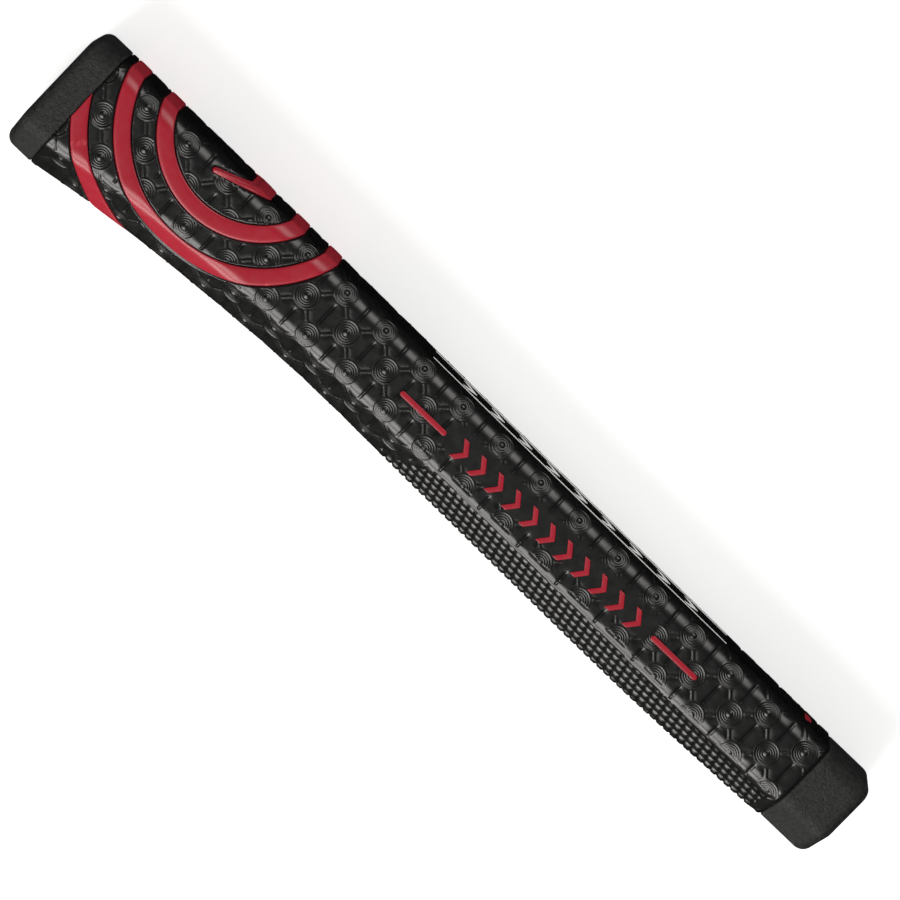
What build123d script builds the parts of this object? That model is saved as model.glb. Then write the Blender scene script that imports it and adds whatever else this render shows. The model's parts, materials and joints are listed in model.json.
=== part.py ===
from build123d import *
import math
import os

# A putter grip: a foam core sleeve with a straight shaft bore, wrapped in a felt-backed moulded skin whose
# edges meet in a seam down the back, and closed by a rubber butt cap and a rubber tip cap glued into the core.
# The coloured hoops, dashes, chevrons and sight lines are separate inlays seated in the skin.
# Frame, in millimetres: +X runs down the shaft bore from the butt to the mouth, with the origin on the bore's
# axis where the end of the shaft stops. +Y is the flat front, where the thumbs rest. The grip lies on its
# side, so +Z is up and the plane Z = 0 is its plane of symmetry.

# Driving dimensions
LENGTH = 267.0                # 10.5 inches over both caps
BUTT_END = -6.0               # outer face of the butt cap
BUTT_SEAM = 2.8               # butt cap meets the skin
TIP_SEAM = 246.0              # skin meets the tip cap
TIP_END = BUTT_END + LENGTH
BORE_RADIUS = 7.37            # for a shaft butt of 0.580 inch
FRONT_CORNER = 5.0            # radius between the flat front and each side
SHOULDER_CORNER = 4.0         # radius between each side and its back face
RIDGE_CORNER = 5.0            # radius where the two back faces meet

# Outline of the wrapped body, as its five faces would meet without those radii. Each station: x, height of
# the front, depth of the back ridge, depth of the shoulders where the flat sides end, and half of the width.
STATIONS = (
    (BUTT_SEAM, 14.9, 21.8, 13.2, 15.6),
    (20.0, 14.8, 19.3, 9.8, 15.2),
    (45.0, 14.7, 16.7, 6.9, 14.7),
    (85.0, 14.2, 14.2, 5.2, 14.3),
    (130.0, 13.6, 14.7, 5.4, 14.2),
    (195.0, 12.95, 15.5, 5.8, 14.0),
    (228.0, 12.7, 14.95, 5.6, 13.8),
    (TIP_SEAM, 12.6, 14.15, 5.3, 13.6),
)
LOFT_SECTIONS = 17

# Layers, each measured inwards from the outer surface
SKIN = 1.2
FELT = 0.7
INLAY_DEPTH = 0.5             # how deep a coloured inlay is seated in the skin
MARK_PROUD = 0.25             # how far the chevrons and dashes stand out of the skin
SEAM_GAP = 0.2                # between the two edges of the wrap, at the back

# Caps
CAP_EDGE = 3.0                # rounded rim of both caps
TIP_CAP_INSET = 0.35          # the tip cap is this much slimmer than the skin beside it
SPIGOT_LENGTH = 10.0
BUTT_SPIGOT_RADIUS = 10.4
TIP_SPIGOT_RADIUS = 8.7
VENT_RADIUS = 1.25            # lets air out of the bore while the grip goes on
MOUTH_CHAMFER = 0.8

# Hoops: plain concentric bands round a point beyond the front, cut square through from side to side
HOOP_X, HOOP_Y = 40.3, 24.6
HOOP_RADII = {"middle": 23.8, "wide": 34.4, "outer": 45.0}
HOOP_WIDTH = 4.2

# Tapered stroke inside the hoops: round at its start, and its end stands clear of the front
STROKE_START, STROKE_END = (37.6, 10.9), (62.0, 18.95)
STROKE_START_RADIUS, STROKE_END_RADIUS = 0.75, 1.35

# Marks on both sides: a dash, a row of chevrons and another dash, centred on one line below the front
MARK_BELOW_FRONT = 10.85
MARK_MIDDLE_X = 158.9
DASH_LENGTH, DASH_WIDTH = 15.3, 1.4
DASH_CENTRE = 43.2            # from the middle of the row to the centre of each dash
CHEVRONS = 11
CHEVRON_PITCH = 5.95
CHEVRON_HEIGHT, CHEVRON_REACH, CHEVRON_STROKE = 5.8, 2.3, 1.7

# Marks on the front: two sight lines with larger chevrons between them, and one bar near the tip
SIGHT_LINE_OFFSET, SIGHT_LINE_WIDTH = 7.0, 1.1
FRONT_CHEVRONS = 9
FRONT_CHEVRON_PITCH = 9.6
FRONT_CHEVRON_HEIGHT, FRONT_CHEVRON_REACH, FRONT_CHEVRON_STROKE = 8.0, 3.0, 2.0
TIP_BAR_X, TIP_BAR_LENGTH, TIP_BAR_WIDTH = 238.0, 9.0, 2.2

REACH = 60.0                  # longer than any cut has to go


def outline(x):
    """Front, ridge, shoulder and half width at x, on a smooth curve through the stations."""
    x = min(max(x, STATIONS[0][0]), STATIONS[-1][0])
    i = max(k for k in range(len(STATIONS) - 1) if STATIONS[k][0] <= x)
    start, end = STATIONS[i], STATIONS[i + 1]
    before, after = STATIONS[max(i - 1, 0)], STATIONS[min(i + 2, len(STATIONS) - 1)]
    span = end[0] - start[0]
    t = (x - start[0]) / span
    values = []
    for k in range(1, 5):
        slope_in = span * (end[k] - before[k]) / (end[0] - before[0])
        slope_out = span * (after[k] - start[k]) / (after[0] - start[0])
        values.append(
            (2 * t**3 - 3 * t**2 + 1) * start[k]
            + (t**3 - 2 * t**2 + t) * slope_in
            + (3 * t**2 - 2 * t**3) * end[k]
            + (t**3 - t**2) * slope_out
        )
    return values


def section(x, inset=0.0):
    """The rounded pentagon at x, drawn inset from the outer surface: flat front, flat sides, V-shaped back."""
    front, ridge, shoulder, half_width = outline(x)
    slope = (ridge - shoulder) / half_width
    front_y = front - inset
    side_z = half_width - inset
    ridge_y = inset * math.hypot(1, slope) - ridge
    shoulder_y = ridge_y + slope * side_z
    with BuildSketch(Plane(origin=(x, 0, 0), x_dir=(0, 1, 0), z_dir=(1, 0, 0))) as sketch:
        with BuildLine():
            Polyline(
                (ridge_y, 0), (shoulder_y, -side_z), (front_y, -side_z),
                (front_y, side_z), (shoulder_y, side_z), close=True,
            )
        make_face()
        fillet(sketch.vertices().sort_by(Axis.X)[-2:], FRONT_CORNER - inset)
        fillet(sketch.vertices().sort_by(Axis.X)[1:3], SHOULDER_CORNER - inset)
        fillet(sketch.vertices().sort_by(Axis.X)[:1], RIDGE_CORNER - inset)
    return sketch.sketch


def body(inset):
    """The solid body between the two seams, inset from the outer surface."""
    step = (TIP_SEAM - BUTT_SEAM) / (LOFT_SECTIONS - 1)
    return loft([section(BUTT_SEAM + i * step, inset) for i in range(LOFT_SECTIONS)])


def along_bore(radius, start, end):
    """A cylinder on the bore's axis from start to end."""
    return Plane.YZ.offset(start) * Cylinder(
        radius, end - start, align=(Align.CENTER, Align.CENTER, Align.MIN)
    )


def through_sides(face):
    """A face drawn on the XY plane, cut right through the grip from side to side."""
    return extrude(face, REACH, both=True)


def solids_in(side, shape):
    """The solids of a shape whose centre lies on the +Z side (1) or the -Z side (-1)."""
    return Compound([s for s in shape.solids() if s.center().Z * side > 0])


def hoop(radius):
    """A concentric band through the sides. The outer one runs only from the butt seam to the back."""
    low, high = radius - HOOP_WIDTH / 2, radius + HOOP_WIDTH / 2
    band = Circle(high) - Circle(low)
    if radius == HOOP_RADII["outer"]:
        band &= Pos(-REACH, 0) * Rectangle(2 * REACH, 2 * REACH)
    return through_sides(Pos(HOOP_X, HOOP_Y) * band)


def stroke():
    """The tapered stroke, cut through the sides."""
    (x0, y0), (x1, y1) = STROKE_START, STROKE_END
    length = math.hypot(x1 - x0, y1 - y0)
    side_x, side_y = (y0 - y1) / length, (x1 - x0) / length
    bar = make_face(
        Polyline(
            (x0 + side_x * STROKE_START_RADIUS, y0 + side_y * STROKE_START_RADIUS),
            (x0 - side_x * STROKE_START_RADIUS, y0 - side_y * STROKE_START_RADIUS),
            (x1 - side_x * STROKE_END_RADIUS, y1 - side_y * STROKE_END_RADIUS),
            (x1 + side_x * STROKE_END_RADIUS, y1 + side_y * STROKE_END_RADIUS), close=True,
        )
    )
    return through_sides(bar + Pos(x0, y0) * Circle(STROKE_START_RADIUS))


def chevron(height, reach, stroke):
    """A V that points to +X, centred on the origin. The stroke is measured along X."""
    tip = (reach + stroke) / 2
    root = -tip
    return make_face(
        Polyline(
            (root, height / 2), (root + stroke, height / 2), (tip, 0), (root + stroke, -height / 2),
            (root, -height / 2), (tip - stroke, 0), close=True,
        )
    )


def mark_line_y(x):
    """The height of the line that the side marks are centred on."""
    return outline(x)[0] - MARK_BELOW_FRONT


def row_of(count, pitch):
    """Evenly spaced places about the middle of the marks."""
    return [MARK_MIDDLE_X + (i - (count - 1) / 2) * pitch for i in range(count)]


def side_dash_shapes():
    places = [MARK_MIDDLE_X - DASH_CENTRE, MARK_MIDDLE_X + DASH_CENTRE]
    dash = SlotOverall(DASH_LENGTH, DASH_WIDTH)
    return [through_sides(Pos(x, mark_line_y(x)) * dash) for x in places]


def side_chevron_shapes():
    mark = chevron(CHEVRON_HEIGHT, CHEVRON_REACH, CHEVRON_STROKE)
    return [through_sides(Pos(x, mark_line_y(x)) * mark) for x in row_of(CHEVRONS, CHEVRON_PITCH)]


def over_front(face):
    """A face drawn with its own x along the grip and its own y across it, raised through the front."""
    plane = Plane(origin=(0, 0, 0), x_dir=(1, 0, 0), z_dir=(0, 1, 0))
    return extrude(plane * face, REACH)


def sight_line_shapes():
    length = 2 * DASH_CENTRE + DASH_LENGTH
    line = Rectangle(length, SIGHT_LINE_WIDTH)
    offsets = (-SIGHT_LINE_OFFSET, SIGHT_LINE_OFFSET)
    return [over_front(Pos(MARK_MIDDLE_X, offset) * line) for offset in offsets]


def front_chevron_shapes():
    mark = chevron(FRONT_CHEVRON_HEIGHT, FRONT_CHEVRON_REACH, FRONT_CHEVRON_STROKE)
    return [over_front(Pos(x, 0) * mark) for x in row_of(FRONT_CHEVRONS, FRONT_CHEVRON_PITCH)]


def tip_bar_shapes():
    return [over_front(Pos(TIP_BAR_X, 0) * SlotOverall(TIP_BAR_LENGTH, TIP_BAR_WIDTH, rotation=90))]


def inlay(shell, cutters):
    """The parts of a thin shell that lie inside the cutters."""
    return Compound([s for cutter in cutters for s in (shell & cutter).solids()])


def butt_cap():
    """Rubber cap: a rounded end plate, and a spigot that is glued into the core and holds the shaft's end."""
    plate = extrude(section(BUTT_SEAM), BUTT_END - BUTT_SEAM)
    plate = fillet(plate.faces().sort_by(Axis.X)[0].edges(), CAP_EDGE)
    cap = plate + along_bore(BUTT_SPIGOT_RADIUS, BUTT_SEAM, BUTT_SEAM + SPIGOT_LENGTH)
    cap -= along_bore(BORE_RADIUS, 0, REACH)
    return cap - along_bore(VENT_RADIUS, BUTT_END - REACH, REACH)


def tip_cap():
    """Rubber mouth piece: a rounded collar with the bore through it, and a spigot glued into the core."""
    collar = extrude(section(TIP_SEAM, TIP_CAP_INSET), TIP_END - TIP_SEAM)
    collar = fillet(collar.faces().sort_by(Axis.X)[-1].edges(), CAP_EDGE)
    cap = collar + along_bore(TIP_SPIGOT_RADIUS, TIP_SEAM - SPIGOT_LENGTH, TIP_SEAM)
    cap -= along_bore(BORE_RADIUS, TIP_SEAM - REACH, TIP_END + REACH)
    mouth = cap.faces().sort_by(Axis.X)[-1].inner_wires()[0]
    return chamfer(mouth.edges(), MOUTH_CHAMFER)


def core_sleeve(core_body):
    """Foam sleeve: the bore, and a counterbore at each end for the caps' spigots."""
    sleeve = core_body - along_bore(BORE_RADIUS, BUTT_SEAM - REACH, TIP_SEAM + REACH)
    sleeve -= along_bore(BUTT_SPIGOT_RADIUS, BUTT_SEAM - REACH, BUTT_SEAM + SPIGOT_LENGTH)
    return sleeve - along_bore(TIP_SPIGOT_RADIUS, TIP_SEAM - SPIGOT_LENGTH, TIP_SEAM + REACH)


def back_seam():
    """The thin space between the two edges of the wrap."""
    return Pos(0, -REACH / 2, 0) * Box(10 * REACH, REACH, SEAM_GAP)


def main():
    outer, skin_bed, felt_bed = body(0.0), body(SKIN), body(SKIN + FELT)
    inlay_bed, proud = body(INLAY_DEPTH), body(-MARK_PROUD)
    flush_shell, proud_shell = outer - inlay_bed, proud - inlay_bed

    parts = {}
    for name, radius in HOOP_RADII.items():
        parts[f"hoop_inlay_{name}"] = inlay(flush_shell - back_seam(), [hoop(radius)])
    parts["stroke_inlay"] = inlay(flush_shell, [stroke()])
    dashes, chevrons = inlay(proud_shell, side_dash_shapes()), inlay(proud_shell, side_chevron_shapes())
    for name, side in (("near", 1), ("far", -1)):
        parts[f"side_dashes_{name}"] = solids_in(side, dashes)
        parts[f"side_chevrons_{name}"] = solids_in(side, chevrons)
    parts["sight_lines"] = inlay(flush_shell, sight_line_shapes())
    parts["front_chevrons"] = inlay(flush_shell, front_chevron_shapes())
    parts["tip_bar"] = inlay(flush_shell, tip_bar_shapes())

    skin = outer - skin_bed - back_seam()
    for seated in parts.values():
        skin -= seated
    parts["outer_skin"] = skin
    parts["felt_backing"] = skin_bed - felt_bed - back_seam()
    parts["core_sleeve"] = core_sleeve(felt_bed)
    parts["butt_cap"] = butt_cap()
    parts["tip_cap"] = tip_cap()

    os.makedirs("parts", exist_ok=True)
    for name, shape in parts.items():
        export_step(shape, f"parts/{name}.step")


main()
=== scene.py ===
"""The looks of a putter grip: an embossed wrap with coloured inlays between two grained rubber caps.

Every length below is in millimetres, in the CAD frame: +X runs along the shaft bore from the butt to the mouth,
+Y is the flat front and +Z is the side that faces up. The wrap's outer surface is laid out flat as (x, t),
where t is the distance round the girth from the middle of the front, positive on the +Z side. Its pattern, its
coloured inlays and its knurling are all drawn there and then wrapped onto the body.
"""
import json
import math

import bmesh
import bpy
import numpy as np
from mathutils import Matrix, Vector
from mathutils.geometry import delaunay_2d_cdt, tessellate_polygon


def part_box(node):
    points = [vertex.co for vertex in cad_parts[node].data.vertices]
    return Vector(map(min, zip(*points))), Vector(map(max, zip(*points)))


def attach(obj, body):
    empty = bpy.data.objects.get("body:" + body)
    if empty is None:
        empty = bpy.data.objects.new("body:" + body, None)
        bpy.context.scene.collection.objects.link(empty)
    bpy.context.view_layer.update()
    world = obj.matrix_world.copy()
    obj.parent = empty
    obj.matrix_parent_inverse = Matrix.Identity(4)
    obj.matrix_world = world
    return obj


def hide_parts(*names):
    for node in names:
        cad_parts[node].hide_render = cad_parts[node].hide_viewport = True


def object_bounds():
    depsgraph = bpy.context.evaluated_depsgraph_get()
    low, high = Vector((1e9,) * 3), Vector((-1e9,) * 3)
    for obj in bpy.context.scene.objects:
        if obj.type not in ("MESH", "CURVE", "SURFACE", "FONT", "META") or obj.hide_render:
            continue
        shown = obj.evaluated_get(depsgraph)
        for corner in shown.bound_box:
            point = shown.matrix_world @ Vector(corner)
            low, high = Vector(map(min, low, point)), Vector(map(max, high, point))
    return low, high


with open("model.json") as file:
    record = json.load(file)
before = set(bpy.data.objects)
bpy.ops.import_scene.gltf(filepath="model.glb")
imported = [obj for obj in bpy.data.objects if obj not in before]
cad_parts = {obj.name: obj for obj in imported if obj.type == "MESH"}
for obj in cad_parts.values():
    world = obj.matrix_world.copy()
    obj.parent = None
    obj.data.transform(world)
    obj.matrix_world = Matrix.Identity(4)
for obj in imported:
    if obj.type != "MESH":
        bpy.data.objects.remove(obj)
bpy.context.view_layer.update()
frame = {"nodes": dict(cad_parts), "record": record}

MM = 0.001


def cad_mm(node):
    """A CAD node's lowest and highest corner, in millimetres."""
    low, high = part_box(node)
    return np.array(low) / MM, np.array(high) / MM


# The body, as the CAD has it
SKIN_LOW, SKIN_HIGH = cad_mm("outer_skin")
BUTT_SEAM, TIP_SEAM = SKIN_LOW[0], SKIN_HIGH[0]
BUTT_END = cad_mm("butt_cap")[0][0]
TIP_END = cad_mm("tip_cap")[1][0]
BORE_MOUNT = next(m for m in frame["record"]["mounts"] if m["name"] == "shaft_bore")
BORE_RADIUS = BORE_MOUNT["dims"]["r_mm"]
FRONT_CORNER, SHOULDER_CORNER, RIDGE_CORNER = 5.0, 4.0, 5.0
# x, height of the front, depth of the back ridge, depth of the shoulders and half width of the sharp pentagon
STATIONS = np.array((
    (BUTT_SEAM, 14.9, 21.8, 13.2, 15.6),
    (20.0, 14.8, 19.3, 9.8, 15.2),
    (45.0, 14.7, 16.7, 6.9, 14.7),
    (85.0, 14.2, 14.2, 5.2, 14.3),
    (130.0, 13.6, 14.7, 5.4, 14.2),
    (195.0, 12.95, 15.5, 5.8, 14.0),
    (228.0, 12.7, 14.95, 5.6, 13.8),
    (TIP_SEAM, 12.6, 14.15, 5.3, 13.6),
))
SKIN = 1.2
SEAM_HALF = 0.1               # half of the open seam down the ridge
FAR = 99.0                    # further than anything that is looked for nearby

# Hoops near the butt
HOOP_X, HOOP_Y = 40.3, 24.6
HOOP_RADII = {"middle": 23.8, "wide": 34.4, "outer": 45.0}
HOOP_WIDTH = 4.2
BAND_EDGE = HOOP_WIDTH / 2
BED_DEPTH = 0.5               # of the grooves that the hoops lie in
STROKE_START, STROKE_END = (37.6, 10.9), (62.0, 18.95)     # the tapered stroke inside the hoops
STROKE_START_RADIUS, STROKE_END_RADIUS = 0.75, 1.35

# Marks on the sides and the front
MARK_BELOW_FRONT = 10.85
MARK_MIDDLE_X = 158.9
DASH_LENGTH, DASH_WIDTH, DASH_CENTRE = 15.3, 1.4, 43.2
CHEVRONS, CHEVRON_PITCH = 11, 5.95
CHEVRON_HEIGHT, CHEVRON_REACH, CHEVRON_STROKE = 5.8, 2.3, 1.7
SIGHT_LINE_OFFSET, SIGHT_LINE_WIDTH = 7.0, 1.1
FRONT_CHEVRONS, FRONT_CHEVRON_PITCH = 9, 9.6
FRONT_CHEVRON_HEIGHT, FRONT_CHEVRON_REACH, FRONT_CHEVRON_STROKE = 8.0, 3.0, 2.0
TIP_BAR_X, TIP_BAR_LENGTH, TIP_BAR_WIDTH = 238.0, 9.0, 2.2
MARK_DEPTH, MARK_EDGE = 0.45, 0.15     # how deep the marks are seated, and the radius of their edges
SIDE_MARK_PROUD, FRONT_MARK_PROUD, SIGHT_LINE_PROUD = 0.25, 0.08, 0.06
FRONT_PANEL_HALF, SIDE_PANEL_HALF = 9.3, 34.5     # half the width of one, half the length of the other
SIDE_PANEL_BELOW, SIDE_PANEL_ABOVE = 2.6, 4.8     # its reach towards the ridge and towards the front

# The embossed pattern: ringed discs on a lattice turned by 45 degrees
PITCH = 13.34                 # between the discs of one row
FIRST_DISC_X = 28.33          # a disc of the even rows
ROW_STEP = 0.153              # between rows, as a share of the half girth
ROWS = 7                      # rows on each side of the middle of the front, that one included
ROW_DRIFT, DRIFT_START_X, DRIFT_GROWTH = 0.3, 165.0, 0.00047      # how the outer rows spread to the tip
DISC_RADIUS = 3.25
RING_GROOVES = (0.95, 1.55, 2.15, 2.75)
RING_DEPTH, RING_WIDTH = 0.11, 0.17
RIM_HEIGHT, DIMPLE_HEIGHT, DISC_SINK = 0.10, 0.14, 0.05
LINK_HEIGHT, LINK_WIDTH = 0.13, 0.2
LINK_GROOVE_DEPTH, LINK_GROOVE_OUT = 0.12, 0.42   # the two grooves beside a link
GIRTH_GROOVE_DEPTH, GIRTH_GROOVE_WIDTH = 0.26, 0.26
GIRTH_GROOVE_REACH = (2.4, 3.6)   # from its middle, where it begins to fade and where it has gone
DOT_BELOW_ROW, DOT_RADIUS, DOT_DEPTH = 1.0, 0.42, 0.4

# The knurled panels on the two back faces
STRIP_ROW = 4                 # the row that the plain strip cuts through the middle of
STRIP_WIDTH = 2.2
KNURL_START_X, KNURL_END_X = 112.0, 242.5
KNURL_SLANT = 1.1             # how far its start runs along the grip for each step round the girth
KNURL_PITCH_X, KNURL_PITCH_T, KNURL_SHIFT = 2.3, 3.1, 0.55
KNURL_BED, KNURL_HEIGHT, KNURL_TILT = -0.3, 0.36, 0.12

# The wrap's rounded edges, and how finely the pieces are divided
BUTT_ROLL, TIP_ROLL, SEAM_ROLL = 0.7, 1.1, 0.45
CORNER_POINTS = 10            # of a hoop's line, round the front's corner
BORDER_STEP = 0.5             # between the points of the wrap's outline
RING_POINTS = 144             # round the caps

# Caps
BUTT_RIM, TIP_RIM = 3.0, 3.3  # radii of their rounded rims
TIP_CAP_INSET = 0.35
VENT_RADIUS = 1.25
BUTT_SPIGOT_RADIUS, TIP_SPIGOT_RADIUS = 10.4, 8.7
BUTT_SPIGOT_END, TIP_SPIGOT_END = cad_mm("butt_cap")[1][0], cad_mm("tip_cap")[0][0]

# The studio, in metres and degrees. Each light: its angle from +Z towards +Y, its size and its power
LIGHTS = {
    "front_softbox": (46, (0.6, 0.5), 2.4),
    "back_softbox": (-40, (0.6, 0.48), 4.4),
    "low_softbox": (-78, (0.7, 0.34), 4.2),
}
LIGHT_COLOUR = (1.0, 0.985, 0.96)
LIGHT_DISTANCE, FLOOR_HALF = 0.9, 3.0
CAMERA_AIM, CAMERA_DISTANCE = Vector((0.1275, -0.00345, 0)), 1.6
CAMERA_TILT_X, CAMERA_TILT_Y, CAMERA_ROLL = math.radians(-3.0), math.radians(7.0), math.radians(43.745)
CAMERA_LENS, CAMERA_SHIFT = 257.9, (0.0079, 0.0088)


# --- The wrapped surface ---

def outline(x):
    """Front, ridge, shoulder and half width at each x, on the smooth curve that the CAD uses."""
    x = np.clip(np.asarray(x, float), STATIONS[0, 0], STATIONS[-1, 0])
    at = STATIONS[:, 0]
    last = len(at) - 1
    i = np.clip(np.searchsorted(at, x, side="right") - 1, 0, last - 1)
    before, after = np.maximum(i - 1, 0), np.minimum(i + 2, last)
    span = at[i + 1] - at[i]
    u = (x - at[i]) / span
    values = []
    for column in STATIONS.T[1:]:
        slope_in = span * (column[i + 1] - column[before]) / (at[i + 1] - at[before])
        slope_out = span * (column[after] - column[i]) / (at[after] - at[i])
        values.append(
            (2 * u**3 - 3 * u**2 + 1) * column[i] + (u**3 - 2 * u**2 + u) * slope_in
            + (3 * u**2 - 2 * u**3) * column[i + 1] + (u**3 - u**2) * slope_out
        )
    return values


class Section:
    """Half of the rounded pentagon at each x: front, corner, side, shoulder, back face and ridge, by length."""

    def __init__(self, x, inset=0.0):
        front, ridge, shoulder, half = outline(x)
        slope = (ridge - shoulder) / half
        self.tilt = np.arctan(slope)
        self.r1 = FRONT_CORNER - inset
        self.r2 = SHOULDER_CORNER - inset
        self.r3 = RIDGE_CORNER - inset
        self.front = front - inset
        self.half = half - inset
        self.ridge = ridge - inset * np.hypot(1, slope)
        shoulder = self.ridge - slope * self.half
        turn = math.pi / 2 - self.tilt
        trim2 = self.r2 * np.tan(turn / 2)
        trim3 = self.r3 * np.tan(self.tilt)
        self.turn = turn
        self.side_end = trim2 - shoulder
        lengths = (
            self.half - self.r1,
            self.r1 * math.pi / 2 + 0 * self.half,
            self.front - self.r1 - self.side_end,
            self.r2 * turn,
            np.hypot(self.half, self.ridge - shoulder) - trim2 - trim3,
            self.r3 * self.tilt,
        )
        self.ends = np.cumsum(np.array(lengths), axis=0)
        self.face_start = self.side_end - self.r2 * np.sin(turn)

    @property
    def girth(self):
        """The length of the half girth, from the middle of the front to the ridge."""
        return self.ends[-1]

    def place(self, t):
        """The (y, z) of each point at girth t, and the outward normal there."""
        side = np.where(t < 0, -1.0, 1.0)
        t = np.minimum(np.abs(t), self.girth)
        e = self.ends
        a1 = np.clip((t - e[0]) / self.r1, 0, math.pi / 2)
        a2 = np.clip((t - e[2]) / self.r2, 0, self.turn)
        a3 = np.clip((t - e[4]) / self.r3, 0, self.tilt)
        along = np.clip(t - e[3], 0, e[4] - e[3])
        angle = a1 + a2 + a3          # of the normal, turned from +Y through +Z
        y1 = self.front - self.r1 * (1 - np.cos(a1))
        z1 = np.minimum(t, e[0]) + self.r1 * np.sin(a1)
        y2 = y1 - np.clip(t - e[1], 0, e[2] - e[1])
        y3 = y2 - self.r2 * np.sin(a2)
        z3 = z1 - self.r2 * (1 - np.cos(a2))
        y4 = y3 - along * np.sin(self.tilt)
        z4 = z3 - along * np.cos(self.tilt)
        base = math.pi - self.tilt
        y5 = y4 + self.r3 * (np.cos(base + a3) - np.cos(base))
        z5 = z4 + self.r3 * (np.sin(base + a3) - np.sin(base))
        return y5, z5 * side, np.cos(angle), np.sin(angle) * side

    def girth_at(self, y):
        """The girth of the point below the front's corner whose height is y."""
        e = self.ends
        corner = np.clip((y - (self.front - self.r1)) / self.r1, -1, 1)
        on_corner = e[0] + self.r1 * (math.pi / 2 - np.arcsin(np.maximum(corner, 0)))
        drop = np.maximum(self.front - self.r1 - y, 0)
        on_side = np.minimum(drop, e[2] - e[1])
        drop2 = np.clip(self.side_end - y, 0, self.r2 * np.sin(self.turn))
        on_shoulder = self.r2 * np.arcsin(drop2 / self.r2)
        drop3 = np.maximum(self.face_start - y, 0)
        on_face = drop3 / np.sin(self.tilt)
        return on_corner + on_side + on_shoulder + on_face


def half_girth(x):
    return Section(x).girth


def wrapped(x, t, height):
    """Points in metres, where each flat point (x, t) stands height above the wrap's outer surface."""
    y, z, ny, nz = Section(x).place(t)
    return np.stack((x, y + ny * height, z + nz * height), axis=-1) * MM


# --- The relief of the wrap ---

def smooth(low, high, value):
    """0 below low, 1 above high and a smooth step between."""
    u = np.clip((value - low) / (high - low), 0, 1)
    return u * u * (3 - 2 * u)


def pulse(d, width):
    """A smooth bump of height 1 where d is 0."""
    return np.exp(-(d / width) ** 2)


def mark_line_y(x):
    return outline(x)[0] - MARK_BELOW_FRONT


STROKE_ALONG = np.subtract(STROKE_END, STROKE_START)
STROKE_LENGTH = float(np.hypot(*STROKE_ALONG))
STROKE_ALONG = STROKE_ALONG / STROKE_LENGTH
STROKE_TAPER = (STROKE_END_RADIUS - STROKE_START_RADIUS) / STROKE_LENGTH


def stroke_distance(x, y):
    """The distance to the edge of the tapered stroke, as seen from the side."""
    dx, dy = x - STROKE_START[0], y - STROKE_START[1]
    along = dx * STROKE_ALONG[0] + dy * STROKE_ALONG[1]
    across = np.abs(dy * STROKE_ALONG[0] - dx * STROKE_ALONG[1])
    half = STROKE_START_RADIUS + STROKE_TAPER * np.clip(along, 0, STROKE_LENGTH)
    return np.where(along < 0, np.hypot(along, across) - STROKE_START_RADIUS, across - half)


def hoop_distance(x, t):
    """The distance to the middle of the nearest hoop, as seen from the side. The stroke counts as a hoop."""
    y = Section(x).place(t)[0]
    out = np.hypot(x - HOOP_X, y - HOOP_Y)
    gaps = [stroke_distance(x, y) + BAND_EDGE]
    for name, radius in HOOP_RADII.items():
        gap = np.abs(out - radius)
        gaps.append(np.where(x > HOOP_X, FAR, gap) if name == "outer" else gap)
    return np.min(gaps, axis=0)


def on_front_panel(x, t):
    """1 on the plain panel that the sight lines and the front chevrons lie on."""
    reach = DASH_CENTRE + DASH_LENGTH / 2 + 3.0
    inside = 1 - smooth(reach, reach + 0.8, np.abs(x - MARK_MIDDLE_X))
    return inside * (1 - smooth(FRONT_PANEL_HALF, FRONT_PANEL_HALF + 0.6, np.abs(t)))


def on_side_panel(x, t):
    """1 on the plain panel under a row of chevrons."""
    below = np.abs(t) - Section(x).girth_at(mark_line_y(x))
    inside = 1 - smooth(SIDE_PANEL_HALF, SIDE_PANEL_HALF + 0.8, np.abs(x - MARK_MIDDLE_X))
    inside = inside * (1 - smooth(SIDE_PANEL_BELOW, SIDE_PANEL_BELOW + 0.5, below))
    return inside * (1 - smooth(SIDE_PANEL_ABOVE, SIDE_PANEL_ABOVE + 0.6, -below))


def row_drift(x):
    """How far the outer rows lie beyond their even places. It grows near the tip."""
    return ROW_DRIFT + DRIFT_GROWTH * np.maximum(x - DRIFT_START_X, 0) ** 2


def row_place(x, row):
    """The girth of a row, counted from the middle of the front."""
    return row * ROW_STEP * half_girth(x) + row_drift(x) * np.clip(np.asarray(row) / 2, -1, 1)


def row_at(x, t):
    """The row at girth t, with its fraction."""
    step, drift = ROW_STEP * half_girth(x), row_drift(x)
    inner = t / (step + drift / 2)
    return np.where(np.abs(inner) < 2, inner, (t - np.sign(t) * drift) / step)


def strip_start(x):
    """The girth where the plain strip above the knurling begins, which cuts its row of discs in half."""
    return row_place(x, STRIP_ROW)


def knurl_start(x):
    """The girth where the knurling begins. Near the butt end it slants down towards the ridge."""
    slant = np.maximum(KNURL_START_X + 16.0 - x, 0) * KNURL_SLANT
    return strip_start(x) + STRIP_WIDTH + slant


def knurl_amount(x, t):
    """1 on the knurled panels, 0 off them."""
    start = smooth(0, 0.25, np.abs(t) - knurl_start(x))
    return start * (1 - smooth(KNURL_END_X, KNURL_END_X + 0.25, x))


def strip_amount(x, t):
    """1 on the plain strip and everything beyond it."""
    end = 1 - smooth(KNURL_END_X + 0.6, KNURL_END_X + 1.0, x)
    edge = knurl_start(x) - STRIP_WIDTH
    return smooth(-0.1, 0.1, np.abs(t) - edge) * end


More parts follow.
